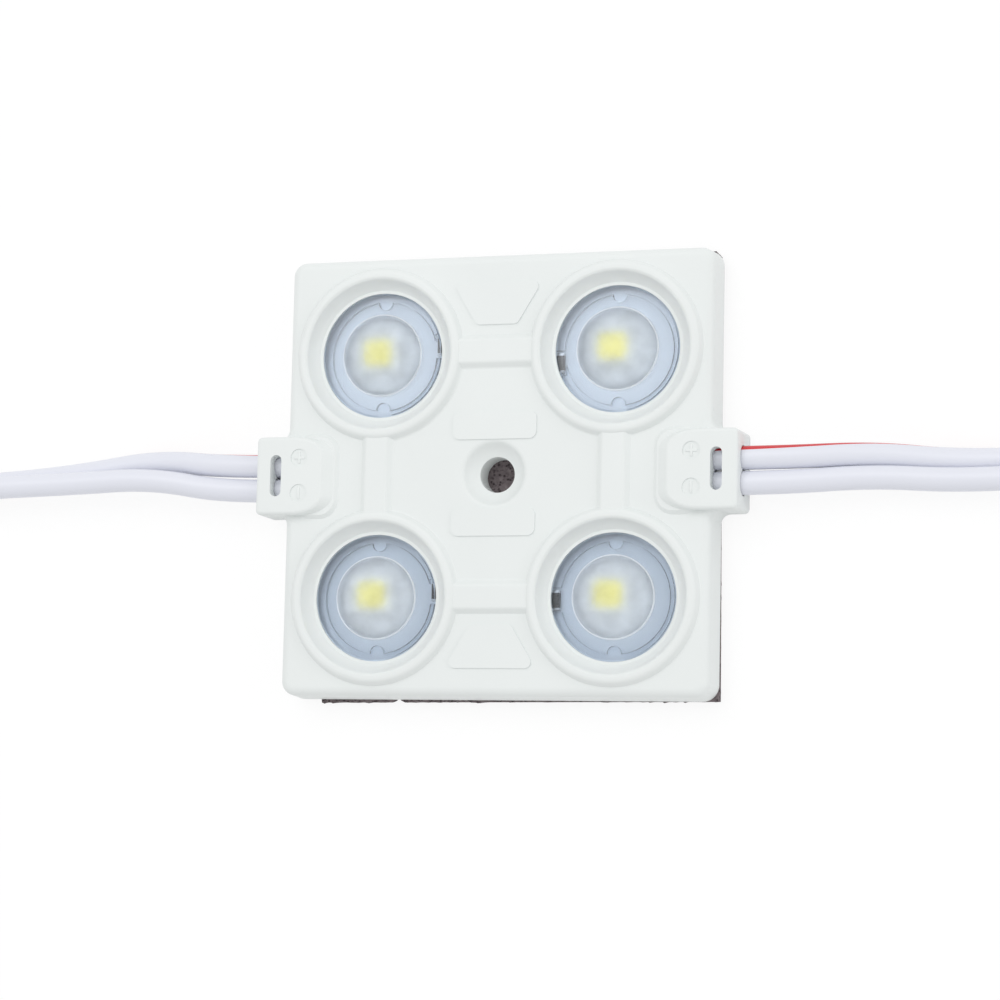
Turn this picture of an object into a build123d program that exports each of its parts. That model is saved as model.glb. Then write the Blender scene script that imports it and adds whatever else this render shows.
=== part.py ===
from build123d import *
from math import pi, radians, tan
import os

os.makedirs("parts", exist_ok=True)

# Foam tape on the back, as wide as the body and short of both ends; its lower face is the height zero
foam_thickness = 0.8
tape_left_inset = 2.5
tape_right_inset = 0.23
tape_shift_y = -0.05
tape_turn = 0.5

# Moulded housing: a square plate with drafted walls
body_side = 36.0
body_corner_radius = 1.3
wall_draft = 4.0
plate_height = 3.0
plate_edge_radius = 0.7

# Raised collar with a dished rim round each lens
lens_pitch = 19.84
collar_foot_radius = 7.15
collar_rise = 0.6
collar_draft = 30.0
collar_shoulder_radius = 0.4
dish_radius = 6.2
dish_sag = 0.08
dish_rim_radius = 0.25
aperture_radius = 5.1
aperture_height = 2.5
aperture_ledge_width = 0.25
lip_thickness = 0.35

# Ribs that tie neighbouring collars together
rib_width = 2.7
rib_rise = 0.42
rib_draft = 45.0
rib_shoulder_radius = 0.25
inner_foot_radius = 0.2

# Thin pads on the plate, above, below and beside the screw hole
pad_rise = 0.12
label_pad_length = 7.0
label_pad_width = 2.25
label_pad_corner = 0.6
label_pad_offset = 3.9
end_pad_outer_width = 7.6
end_pad_inner_width = 3.4
end_pad_outer_offset = 15.6
end_pad_inner_offset = 12.1
end_pad_corner = 0.5

# Dished screw hole in the middle
screw_hole_diameter = 2.9
screw_hole_depth = 2.0
screw_dish_radius = 2.6
screw_dish_sag = 0.12
screw_dish_rim_radius = 0.4
screw_boss_wall = 0.85

# Lead clamps at the left and right ends
clamp_reach = 2.25
clamp_width = 6.4
clamp_height = 3.9
clamp_top_length = 5.8
clamp_slope_length = 1.25
clamp_sink = 0.3
clamp_end_corner = 0.4
clamp_inner_corner = 1.6
clamp_top_edge_radius = 0.3
clamp_root_radius = 0.8
clamp_end_draft = 0.15
clamp_foot_margin = 0.3
clamp_foot_draft = 45.0
slot_length = 3.4
slot_width = 0.95
slot_inset = 1.85
polarity_disc_diameter = 1.45
polarity_disc_depth = 0.1
polarity_disc_inset = 3.85
polarity_disc_pitch = 2.9

# Twin leads
core_diameter = 1.9
core_pitch = 2.0
core_bore_clearance = 0.07
lead_height = 2.0
conductor_diameter = 0.81
jacket_end_gap = 0.2

# Circuit board inside the moulding
floor_thickness = 0.5
side_wall = 1.8
board_thickness = 0.8
board_corner_radius = 0.5
board_hole_clearance = 0.05

# Light sources on the board, all a little off the lens axes
led_length = 3.5
led_width = 2.8
led_height = 0.7
led_corner_radius = 0.15
led_shift_x = -0.5
led_shift_y = 0.28
phosphor_length = 2.3
phosphor_width = 2.1
phosphor_depth = 0.35
phosphor_corner_radius = 0.5
phosphor_gap = 0.01

# Chip resistor at the inner edge of each lens, shifted along the board from the lens centre
chip_length = 1.6
chip_width = 0.8
chip_height = 0.4
chip_offset = 4.95
chip_shifts = {"top_left": 0.75, "top_right": -0.95, "bottom_left": 0.55, "bottom_right": -0.2}
chip_clearance = 0.2

# Clear lens over each light source
lens_radius = 5.7
lens_gap = 0.03
skirt_inner_radius = 4.5
skirt_height = 0.45
dome_radius = 3.4
dome_rise = 1.3
cavity_radius = 2.95
cavity_wall_height = 0.2
cavity_rise = 1.0
shoulder_radius_share = 0.8
shoulder_rise_share = 0.62
lug_diameter = 1.3
lug_offset = 4.4

# Solder joints that hold the conductors on the board
solder_length = 1.7
solder_width = 1.6
solder_rise = 0.15
solder_draft = 8.0
solder_edge_radius = 0.3
solder_inset = 0.35
solder_gap = 0.05
conductor_gap = 0.01

# Levels above the adhesive face
base = foam_thickness
plate_top = base + plate_height
crest_top = plate_top + collar_rise
aperture_top = base + aperture_height
lip_under = aperture_top - lip_thickness
clamp_top = base + clamp_height
board_under = base + floor_thickness
board_top = board_under + board_thickness
flange_under = board_top + skirt_height
hole_rim = base + screw_hole_depth
lead_level = base + lead_height

# Places along the length of the module
half_body = body_side / 2
clamp_end = half_body + clamp_reach
clamp_inner = clamp_end - clamp_top_length
clamp_foot = clamp_inner - clamp_slope_length
clamp_sunk_foot = clamp_foot - clamp_sink * clamp_slope_length / (clamp_top - plate_top)
plate_top_edge = half_body - plate_height * tan(radians(wall_draft)) - plate_edge_radius
board_side = body_side - 2 * side_wall
half_board = board_side / 2
jacket_end = half_board + jacket_end_gap
solder_end = half_board - solder_inset
solder_start = solder_end - solder_length
solder_top = lead_level + conductor_diameter / 2 + solder_rise
screw_boss_radius = screw_hole_diameter / 2 + screw_boss_wall
core_bore_radius = core_diameter / 2 + core_bore_clearance

lens_offset = lens_pitch / 2
lens_places = {
    "top_left": (-lens_offset, lens_offset),
    "top_right": (lens_offset, lens_offset),
    "bottom_left": (-lens_offset, -lens_offset),
    "bottom_right": (lens_offset, -lens_offset),
}
sides = {"left": -1, "right": 1}
polarities = {"positive": 1, "negative": -1}


def upright_plane(x, y):
    """Plane whose first axis runs outwards from (x, y) and whose second is height."""
    return Plane(origin=(x, y, 0), x_dir=(1, 0, 0), z_dir=(0, -1, 0))


def chip_place(name):
    """Centre of the chip resistor that sits at the inner edge of the named lens."""
    x, y = lens_places[name]
    inward = -1 if x > 0 else 1
    return x + inward * chip_offset, y + chip_shifts[name]


def rims_of(edges, radius):
    """Circular edges of the given radius."""
    circles = edges.filter_by(GeomType.CIRCLE)
    return circles.filter_by(lambda edge: abs(edge.radius - radius) < lens_gap / 2)


def bell_curve(foot, rise):
    """Half of a bell in an upright sketch, steep at its foot and level on the axis."""
    radius, level = foot
    shoulder = (radius * shoulder_radius_share, level + rise * shoulder_rise_share)
    Spline(foot, shoulder, (0, level + rise), tangents=((0, 1), (-1, 0)))


# One clamp, as a block with a sloping inner end
with BuildPart() as clamp_block:
    with BuildSketch(Plane.XZ):
        with BuildLine():
            Polyline(
                (clamp_sunk_foot, base),
                (clamp_end, base),
                (clamp_end - clamp_end_draft, clamp_top),
                (clamp_inner, clamp_top),
                (clamp_sunk_foot, plate_top - clamp_sink),
                close=True,
            )
        make_face()
    extrude(amount=clamp_width / 2, both=True)
    end_edges = clamp_block.faces().sort_by(Axis.X)[-1].edges().filter_by(Axis.Y, reverse=True)
    fillet(end_edges, clamp_end_corner)
    slope_face = clamp_block.faces().filter_by(lambda face: face.normal_at().X < -0.1).sort_by(Axis.Z)[-1]
    fillet(slope_face.edges().filter_by(Axis.Y, reverse=True), clamp_inner_corner)
    fillet(clamp_block.faces().sort_by(Axis.Z)[-1].edges(), clamp_top_edge_radius)

with BuildPart() as housing:
    # Outline of the plate and of both clamp roots, rounded into each other
    with BuildSketch(Plane.XY.offset(base)) as outline:
        RectangleRounded(body_side, body_side, body_corner_radius)
        Rectangle(2 * clamp_end - clamp_reach, clamp_width)
        roots = outline.vertices().filter_by(
            lambda corner: abs(abs(corner.X) - half_body) < clamp_reach / 4
            and abs(abs(corner.Y) - clamp_width / 2) < clamp_reach / 4
        )
        fillet(roots, clamp_root_radius)
    extrude(amount=plate_height, taper=wall_draft)
    fillet(housing.faces().sort_by(Axis.Z)[-1].edges(), plate_edge_radius)

    # Ribs along a square through the lens centres, later opened by the apertures
    with BuildSketch(Plane.XY.offset(plate_top)):
        Rectangle(lens_pitch + rib_width, lens_pitch + rib_width)
        Rectangle(lens_pitch - rib_width, lens_pitch - rib_width, mode=Mode.SUBTRACT)
    extrude(amount=rib_rise, taper=rib_draft)
    fillet(housing.faces().sort_by(Axis.Z)[-1].edges(), rib_shoulder_radius)

    # Collars
    with BuildSketch(Plane.XY.offset(plate_top)):
        with Locations(*lens_places.values()):
            Circle(collar_foot_radius)
    extrude(amount=collar_rise, taper=collar_draft)
    fillet(housing.faces().group_by(Axis.Z)[-1].edges(), collar_shoulder_radius)
    with BuildSketch(Plane.XY.offset(board_under)):
        with Locations(*lens_places.values()):
            Circle(collar_foot_radius)
    extrude(amount=plate_top - board_under)

    # Collars and ribs run softly into the middle of the plate
    inner_feet = housing.edges().filter_by_position(Axis.Z, plate_top, plate_top)
    inner_feet = inner_feet.filter_by(lambda edge: max(abs(edge.center().X), abs(edge.center().Y)) < lens_offset)
    fillet(inner_feet, inner_foot_radius)

    # Pads
    with BuildSketch(Plane.XY.offset(plate_top)):
        with Locations((0, label_pad_offset), (0, -label_pad_offset)):
            RectangleRounded(label_pad_length, label_pad_width, label_pad_corner)
        for side in (-1, 1):
            with BuildLine():
                Polyline(
                    (-end_pad_inner_width / 2, side * end_pad_inner_offset),
                    (end_pad_inner_width / 2, side * end_pad_inner_offset),
                    (end_pad_outer_width / 2, side * end_pad_outer_offset),
                    (-end_pad_outer_width / 2, side * end_pad_outer_offset),
                    close=True,
                )
            pad_face = make_face()
            fillet(pad_face.vertices(), end_pad_corner)
    extrude(amount=pad_rise)

    # Clamps, each on a low bevelled foot
    add(clamp_block.part)
    add(clamp_block.part.mirror(Plane.YZ))
    with BuildSketch(Plane.XY.offset(plate_top)):
        with Locations(((clamp_foot + plate_top_edge) / 2, 0), (-(clamp_foot + plate_top_edge) / 2, 0)):
            RectangleRounded(
                plate_top_edge - clamp_foot, clamp_width + 2 * clamp_foot_margin, clamp_inner_corner
            )
    extrude(amount=clamp_foot_margin, taper=clamp_foot_draft)

    # Dishes, apertures and the seats that hold the lens flanges
    for x, y in lens_places.values():
        with BuildSketch(upright_plane(x, y)):
            with BuildLine():
                rim = Vector(dish_radius, crest_top)
                ledge = Vector(aperture_radius + lens_gap + aperture_ledge_width, aperture_top)
                chord = rim - ledge
                middle = (rim + ledge) / 2 + Vector(chord.Y, -chord.X).normalized() * dish_sag
                ThreePointArc(ledge, middle, rim)
                Polyline(
                    rim,
                    (dish_radius, crest_top + collar_rise),
                    (0, crest_top + collar_rise),
                    (0, board_top),
                    (lens_radius + lens_gap, board_top),
                    (lens_radius + lens_gap, lip_under),
                    (aperture_radius + lens_gap, lip_under),
                    (aperture_radius + lens_gap, aperture_top),
                    ledge,
                )
            make_face()
        revolve(axis=Axis((x, y, 0), (0, 0, 1)), mode=Mode.SUBTRACT)
    fillet(rims_of(housing.edges(), dish_radius), dish_rim_radius)

    # Pocket that the moulding leaves round the board, with a boss for the screw hole
    with BuildSketch(Plane.XY.offset(board_under)):
        RectangleRounded(board_side, board_side, board_corner_radius)
        Circle(screw_boss_radius, mode=Mode.SUBTRACT)
    extrude(amount=board_thickness, mode=Mode.SUBTRACT)

    # Pockets over the solder joints, and the bores that grip the leads
    for side in sides.values():
        pocket_start = solder_start - solder_gap
        pocket_length = jacket_end - pocket_start
        with BuildSketch(Plane.XY.offset(board_top)):
            with Locations((side * (pocket_start + pocket_length / 2), 0)):
                Rectangle(pocket_length, core_pitch + solder_width + 2 * solder_gap)
        extrude(amount=solder_top + solder_gap - board_top, mode=Mode.SUBTRACT)
        with BuildSketch(Plane(origin=(side * jacket_end, 0, lead_level), x_dir=(0, side, 0), z_dir=(side, 0, 0))):
            with Locations((-core_pitch / 2, 0), (core_pitch / 2, 0)):
                Circle(core_bore_radius)
        extrude(amount=clamp_end - jacket_end, mode=Mode.SUBTRACT)

    # Windows across the leads and the polarity discs
    with BuildSketch(Plane.XY.offset(base)):
        with Locations((clamp_end - slot_inset, 0), (slot_inset - clamp_end, 0)):
            SlotOverall(slot_length, slot_width, rotation=90)
    extrude(amount=clamp_height, mode=Mode.SUBTRACT)
    with BuildSketch(Plane.XY.offset(clamp_top)):
        for side in sides.values():
            for polarity in polarities.values():
                with Locations((side * (clamp_end - polarity_disc_inset), polarity * polarity_disc_pitch / 2)):
                    Circle(polarity_disc_diameter / 2)
    extrude(amount=-polarity_disc_depth, mode=Mode.SUBTRACT)

    # Screw hole with its dish
    with BuildSketch(upright_plane(0, 0)):
        with BuildLine():
            hole_edge = Vector(screw_hole_diameter / 2, hole_rim)
            dish_edge = Vector(screw_dish_radius, plate_top)
            chord = dish_edge - hole_edge
            middle = (dish_edge + hole_edge) / 2 + Vector(chord.Y, -chord.X).normalized() * screw_dish_sag
            ThreePointArc(hole_edge, middle, dish_edge)
            Polyline(dish_edge, (0, plate_top), (0, base), (screw_hole_diameter / 2, base), hole_edge)
        make_face()
    revolve(axis=Axis.Z, mode=Mode.SUBTRACT)
    fillet(rims_of(housing.edges(), screw_dish_radius), screw_dish_rim_radius)
housing.part.label = "housing"
export_step(housing.part, "parts/housing.step")

with BuildPart() as circuit_board:
    with BuildSketch(Plane.XY.offset(board_under)):
        RectangleRounded(board_side, board_side, board_corner_radius)
        Circle(screw_boss_radius + board_hole_clearance, mode=Mode.SUBTRACT)
    extrude(amount=board_thickness)
circuit_board.part.label = "circuit_board"
export_step(circuit_board.part, "parts/circuit_board.step")

for name, (x, y) in lens_places.items():
    # Clear lens: flange with a skirt, a dome, a hollow over the light source and two lugs inside the skirt
    chip_x, chip_y = chip_place(name)
    with BuildPart() as lens:
        with BuildSketch(upright_plane(x, y)):
            with BuildLine():
                dome_foot = (dome_radius, aperture_top)
                cavity_shoulder = (cavity_radius, flange_under + cavity_wall_height)
                bell_curve(dome_foot, dome_rise)
                bell_curve(cavity_shoulder, cavity_rise)
                Line((0, cavity_shoulder[1] + cavity_rise), (0, aperture_top + dome_rise))
                Polyline(
                    dome_foot,
                    (aperture_radius, aperture_top),
                    (aperture_radius, lip_under - lens_gap),
                    (lens_radius, lip_under - lens_gap),
                    (lens_radius, board_top),
                    (skirt_inner_radius, board_top),
                    (skirt_inner_radius, flange_under),
                    (cavity_radius, flange_under),
                    cavity_shoulder,
                )
            make_face()
        revolve(axis=Axis((x, y, 0), (0, 0, 1)))
        with BuildSketch(Plane.XY.offset(board_top)):
            with Locations((x, y - lug_offset), (x, y + lug_offset)):
                Circle(lug_diameter / 2)
        extrude(amount=flange_under - board_top)
        with BuildSketch(Plane.XY.offset(board_top)):
            with Locations((chip_x, chip_y)):
                Rectangle(chip_width + 2 * chip_clearance, chip_length + 2 * chip_clearance)
        extrude(amount=skirt_height, mode=Mode.SUBTRACT)
    lens.part.label = "lens_" + name
    export_step(lens.part, f"parts/lens_{name}.step")

    # Light source: a white package with a cup of phosphor
    led_place = (x + led_shift_x, y + led_shift_y)
    with BuildPart() as led:
        with BuildSketch(Plane.XY.offset(board_top)):
            with Locations(led_place):
                RectangleRounded(led_length, led_width, led_corner_radius)
        extrude(amount=led_height)
        with BuildSketch(Plane.XY.offset(board_top + led_height)):
            with Locations(led_place):
                RectangleRounded(phosphor_length, phosphor_width, phosphor_corner_radius)
        extrude(amount=-phosphor_depth, mode=Mode.SUBTRACT)
    led.part.label = "led_" + name
    export_step(led.part, f"parts/led_{name}.step")

    with BuildPart() as phosphor:
        with BuildSketch(Plane.XY.offset(board_top + led_height)):
            with Locations(led_place):
                RectangleRounded(
                    phosphor_length - 2 * phosphor_gap,
                    phosphor_width - 2 * phosphor_gap,
                    phosphor_corner_radius - phosphor_gap,
                )
        extrude(amount=-phosphor_depth)
    phosphor.part.label = "phosphor_" + name
    export_step(phosphor.part, f"parts/phosphor_{name}.step")

    with BuildPart() as chip_resistor:
        with BuildSketch(Plane.XY.offset(board_top)):
            with Locations((chip_x, chip_y)):
                Rectangle(chip_width, chip_length)
        extrude(amount=chip_height)
    chip_resistor.part.label = "chip_resistor_" + name
    export_step(chip_resistor.part, f"parts/chip_resistor_{name}.step")

# Each core's route past the clamp: distance out of the clamp's end, across and height
core_routes = {
    "left_positive": (
        (2.95, 1.00, 2.80),
        (9.95, 1.90, 1.22),
        (17.35, 0.80, 0.95),
        (25.25, 0.15, 0.95),
        (33.55, -0.05, 0.95),
        (41.95, 0.00, 0.95),
        (50.00, 0.25, 0.95),
    ),
    "left_negative": (
        (2.95, -1.00, 2.80),
        (9.95, 0.25, 2.80),
        (17.35, -0.15, 2.68),
        (25.25, -0.40, 2.83),
        (33.55, -0.98, 2.68),
        (41.95, -1.46, 2.26),
        (50.00, -1.53, 1.78),
    ),
    "right_positive": (
        (2.95, 1.00, 2.80),
        (9.95, 1.36, 1.50),
        (16.25, 0.70, 0.95),
        (23.75, 0.78, 0.95),
        (31.75, 0.82, 0.95),
        (40.75, 0.62, 0.95),
        (49.40, 0.10, 0.95),
    ),
    "right_negative": (
        (2.95, -1.00, 2.80),
        (9.95, -0.50, 2.08),
        (16.25, -0.94, 2.02),
        (23.75, -0.72, 2.21),
        (31.75, -0.86, 1.97),
        (40.75, -1.23, 1.60),
        (49.40, -1.84, 1.23),
    ),
}


def corner_radii(points):
    """Radius of the arc at each corner: as large as the two runs beside it allow."""
    radii = []
    for before, corner, after in zip(points, points[1:], points[2:]):
        arriving = corner - before
        leaving = after - corner
        half_turn = radians(arriving.get_angle(leaving)) / 2
        radii.append(0.45 * min(arriving.length, leaving.length) / tan(half_turn))
    return radii


for side_name, side in sides.items():
    for polarity_name, polarity in polarities.items():
        name = f"{side_name}_{polarity_name}"
        across = polarity * core_pitch / 2

        # Lead core, from the board's edge through the clamp to its cut end
        start = Vector(side * jacket_end, across, lead_level)
        points = [start] + [Vector(side * (clamp_end + out), y, z) for out, y, z in core_routes[name]]
        radii = corner_radii(points)
        with BuildPart() as lead_core:
            with BuildLine() as route:
                FilletPolyline(*points, radius=radii)
            with BuildSketch(Plane(origin=start, z_dir=(side, 0, 0))):
                Circle(core_diameter / 2)
            sweep(path=route.wires()[0])
        lead_core.part.label = "lead_core_" + name
        export_step(lead_core.part, f"parts/lead_core_{name}.step")
        length = route.wires()[0].length
        expected = length * pi * core_diameter**2 / 4
        print(
            f"lead_core_{name}: length {length:.2f} mm, volume over section times length"
            f" {lead_core.part.volume / expected:.5f}, radii {[round(radius, 1) for radius in radii]}"
        )

        # Bare conductor between the jacket and the board
        with BuildPart() as conductor:
            with BuildSketch(Plane(origin=start, z_dir=(-side, 0, 0))):
                Circle(conductor_diameter / 2)
            extrude(amount=jacket_end - solder_start)
        conductor.part.label = "conductor_" + name
        export_step(conductor.part, f"parts/conductor_{name}.step")

        # Solder joint round the conductor
        with BuildPart() as solder_joint:
            with BuildSketch(Plane.XY.offset(board_top)):
                with Locations((side * (solder_start + solder_length / 2), across)):
                    Rectangle(solder_length, solder_width)
            extrude(amount=solder_top - board_top, taper=solder_draft)
            fillet(solder_joint.faces().sort_by(Axis.Z)[-1].edges(), solder_edge_radius)
            with BuildSketch(Plane(origin=start, z_dir=(-side, 0, 0))):
                Circle(conductor_diameter / 2 + conductor_gap)
            extrude(amount=jacket_end - solder_start + solder_gap, mode=Mode.SUBTRACT)
        solder_joint.part.label = "solder_joint_" + name
        export_step(solder_joint.part, f"parts/solder_joint_{name}.step")

# Foam tape, laid a little askew by hand
tape_centre = ((tape_left_inset - tape_right_inset) / 2, tape_shift_y, 0)
with BuildPart() as foam_tape:
    with BuildSketch(Plane(origin=tape_centre).rotated((0, 0, tape_turn))):
        Rectangle(body_side - tape_left_inset - tape_right_inset, body_side)
    extrude(amount=foam_thickness)
foam_tape.part.label = "foam_tape"
export_step(foam_tape.part, "parts/foam_tape.step")
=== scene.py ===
"""Square sign-lighting module: four lensed light sources in a white moulding, twin leads and foam tape."""

from math import cos, pi, radians, sin

import bpy
from bpy.props import FloatProperty, FloatVectorProperty, PointerProperty
from bpy.types import Operator, Panel, PropertyGroup
from mathutils import Matrix, Vector


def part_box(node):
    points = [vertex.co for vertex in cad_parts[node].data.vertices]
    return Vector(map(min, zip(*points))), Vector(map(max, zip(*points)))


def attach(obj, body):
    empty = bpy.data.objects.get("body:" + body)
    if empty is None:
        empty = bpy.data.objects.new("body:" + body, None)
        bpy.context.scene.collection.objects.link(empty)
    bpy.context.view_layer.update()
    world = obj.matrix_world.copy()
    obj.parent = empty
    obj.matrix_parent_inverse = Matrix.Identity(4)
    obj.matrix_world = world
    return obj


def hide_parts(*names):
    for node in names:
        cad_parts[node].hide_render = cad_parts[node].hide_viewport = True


bl_info = {
    "name": "LED sign module",
    "version": (1, 0, 0),
    "blender": (4, 5, 0),
    "location": "View3D > Sidebar > LED module",
    "description": "Dresses the packed solids of a sign-lighting module with their real finishes",
    "category": "Object",
}

MM = 0.001
BODY = "root"
CORNERS = ("top_left", "top_right", "bottom_left", "bottom_right")
SIDES = {"left": -1, "right": 1}
POLARITIES = {"positive": 1, "negative": -1}
CORES = [f"{side}_{polarity}" for side in SIDES for polarity in POLARITIES]

# Part of a face's normal along an axis, above which the face looks that way
FACING = 0.9

# Part of a face's normal along Z, below which the face is upright or looks down
UPRIGHT = 0.1

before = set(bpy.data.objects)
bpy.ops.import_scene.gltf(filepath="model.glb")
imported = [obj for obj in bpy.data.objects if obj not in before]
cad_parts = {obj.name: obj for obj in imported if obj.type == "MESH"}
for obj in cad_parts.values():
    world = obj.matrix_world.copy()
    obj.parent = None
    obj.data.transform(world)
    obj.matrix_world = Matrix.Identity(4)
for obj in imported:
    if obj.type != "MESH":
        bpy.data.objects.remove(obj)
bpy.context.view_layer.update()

# Levels and places that the solids give
lens_low, lens_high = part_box("lens_top_left")
housing_low, housing_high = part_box("housing")
tape_low, tape_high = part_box("foam_tape")
LENS_CENTRE = (lens_low + lens_high) / 2
LENS_RADIUS = (lens_high.x - lens_low.x) / 2
DOME_TOP = lens_high.z
BOARD_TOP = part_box("circuit_board")[1].z
CLAMP_END = housing_high.x
CLAMP_TOP = housing_high.z
HOUSING_FOOT = housing_low.z
TAPE_CENTRE = (tape_low + tape_high) / 2
TAPE_TOP = tape_high.z

# Polarity marks: in from the clamp's end, apart, and the depth of their recess
MARK_INSET = 3.85 * MM
MARK_PITCH = 2.9 * MM
MARK_DEPTH = 0.1 * MM

# Start of every core in its clamp: out from the module's centre, across and up, in millimetres
JACKET_START = (16.4, 1.0, 2.8)

# Routes of the cores from there on: out of the clamp's end, across and up, in millimetres. They are those
# of the solids, but for the left negative core, which leaves a thin gap beside its clamp.
ROUTES = {
    "left_positive": (
        (2.95, 1.00, 2.80),
        (9.95, 1.90, 1.22),
        (17.35, 0.80, 0.95),
        (25.25, 0.15, 0.95),
        (33.55, -0.05, 0.95),
        (41.95, 0.00, 0.95),
        (50.00, 0.25, 0.95),
    ),
    "left_negative": (
        (2.95, -1.15, 2.80),
        (9.95, 0.20, 2.80),
        (17.35, -0.15, 2.68),
        (25.25, -0.40, 2.83),
        (33.55, -0.98, 2.68),
        (41.95, -1.46, 2.26),
        (50.00, -1.53, 1.78),
    ),
    "right_positive": (
        (2.95, 1.00, 2.80),
        (9.95, 1.36, 1.50),
        (16.25, 0.70, 0.95),
        (23.75, 0.78, 0.95),
        (31.75, 0.82, 0.95),
        (40.75, 0.62, 0.95),
        (49.40, 0.10, 0.95),
    ),
    "right_negative": (
        (2.95, -1.00, 2.80),
        (9.95, -0.50, 2.08),
        (16.25, -0.94, 2.02),
        (23.75, -0.72, 2.21),
        (31.75, -0.86, 1.97),
        (40.75, -1.23, 1.60),
        (49.40, -1.84, 1.23),
    ),
}


def linear(code):
    """Linear colour of an sRGB hex value."""
    shares = [int(code[i : i + 2], 16) / 255 for i in (1, 3, 5)]
    return [s / 12.92 if s <= 0.04045 else ((s + 0.055) / 1.055) ** 2.4 for s in shares]


def paint(code, name, description):
    """Colour property with an sRGB hex value as its default."""
    return FloatVectorProperty(
        name=name, description=description, subtype="COLOR", size=3, min=0, max=1, default=linear(code)
    )


def length(millimetres, name, description):
    """Length property with its default in millimetres."""
    return FloatProperty(
        name=name, description=description, unit="LENGTH", default=millimetres * MM, precision=5
    )


class LedModuleSizes(PropertyGroup):
    core_diameter: length(1.9, "Core diameter", "Outside diameter of one lead core")
    strand_diameter: length(0.27, "Strand diameter", "Diameter of one copper strand")
    strand_reach: length(0.2, "Strand reach", "How far the strands stand out of the cut jacket")
    stripe_width: length(0.85, "Stripe width", "Width of the red stripe round the positive core")
    aperture_radius: length(5.1, "Aperture radius", "Radius of the lens flange in its opening")
    aperture_level: length(3.3, "Aperture level", "Height of the flange's upper face")
    lip_under: length(2.95, "Lip underside", "Height of the underside of the housing's lip")
    lens_gap: length(0.03, "Lens gap", "Clearance between the lens and the housing")
    board_gap: length(0.02, "Board gap", "Air between the lens skirt and the board")
    flange_under: length(2.55, "Flange underside", "Height of the flange's lower face")
    skirt_inner_radius: length(4.5, "Skirt inner radius", "Inside radius of the lens skirt")
    dome_radius: length(3.4, "Dome radius", "Radius of the lens dome at its foot")
    edge_bevel: length(0.12, "Edge bevel", "Bevel of the flange's upper edge")
    # The bead is made milky white, a painted highlight ring round the foot of the dome
    bead_width: length(0.11, "Bead width", "Width of the milky bead round the foot of the dome, a painted highlight ring")
    bead_height: length(0.06, "Bead height", "Height of the bead above the flange")
    cavity_radius: length(2.95, "Hollow radius", "Radius of the hollow over the light source")
    cavity_flare: length(0.2, "Hollow flare", "How much wider the hollow is at its foot")
    cavity_wall: length(0.2, "Hollow wall", "Height of the hollow's flared wall")
    cavity_rise: length(1.0, "Hollow rise", "Height of the hollow's vault above its wall")
    lug_diameter: length(1.15, "Lug diameter", "Diameter of the two lugs inside the skirt")
    lug_offset: length(4.4, "Lug offset", "Distance of the lugs from the lens centre")
    relief_gap: length(0.2, "Relief gap", "Room in the skirt round a chip resistor")
    mark_length: length(0.95, "Mark length", "Length of the bars in the polarity marks")
    mark_width: length(0.2, "Mark width", "Width of the bars in the polarity marks")
    mark_rise: length(0.07, "Mark rise", "Height of the polarity marks above their recess")
    tape_length: length(33.27, "Tape length", "Length of the foam tape along the module")
    tape_width: length(36.0, "Tape width", "Width of the foam tape across the module")
    film_thickness: length(0.06, "Film thickness", "Thickness of the adhesive film on each face")
    cap_length: length(0.2, "Cap length", "Length of the metal caps on a chip resistor")


class LedModuleColours(PropertyGroup):
    moulding: paint("#E9EDEC", "Moulding", "White plastic of the housing")
    jacket: paint("#E5E7F0", "Jacket", "White soft plastic round the leads")
    stripe: paint("#D22B33", "Stripe", "Red stripe along the positive cores")
    lens: paint("#E2E8EF", "Lens", "Clear plastic of the lenses")
    frost: paint("#F3F6F9", "Frosted lens", "Etched faces of the lenses")
    phosphor: paint("#F5E94E", "Phosphor", "Yellow fill of the light sources")
    package: paint("#DCE1E5", "Package", "White package of the light sources")
    board: paint("#E9EEF3", "Board", "White mask on the circuit board")
    foam: paint("#93888A", "Foam", "Grey-brown foam of the tape")
    cell: paint("#372D30", "Foam cells", "Dark open cells of the foam")
    film: paint("#6E6467", "Film", "Adhesive film on the foam")
    copper: paint("#C98C62", "Copper", "Bare strands of the leads")
    solder: paint("#C9CBCE", "Solder", "Tin of the solder joints")
    chip: paint("#0E0E10", "Chip", "Glazed top of the chip resistors")
    floor: paint("#F4F4F4", "Floor", "Pale floor under the module")


def add_node(tree, kind, inputs=(), **settings):
    """Adds a node with its settings, and gives its inputs their values or links."""
    node = tree.nodes.new(kind)
    for key, value in settings.items():
        setattr(node, key, value)
    for key, value in dict(inputs).items():
        if isinstance(value, bpy.types.NodeSocket):
            tree.links.new(value, node.inputs[key])
        else:
            node.inputs[key].default_value = value
    return node


def new_material(name):
    """Empty node material, ready for its shader."""
    material = bpy.data.materials.new(name)
    material.use_nodes = True
    material.node_tree.nodes.clear()
    return material, material.node_tree


def opaque(colour, share=1.0):
    """Colour with full alpha, as a colour socket takes it, darkened or lightened to a share of itself."""
    return (*(channel * share for channel in colour), 1)


def per(millimetres):
    """Scale of a pattern whose grains are about this many millimetres wide."""
    return 1 / (millimetres * MM)


def dress(obj, *materials):
    """Gives an object its materials, in the order of its slots."""
    obj.data.materials.clear()
    for material in materials:
        obj.data.materials.append(material)


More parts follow.
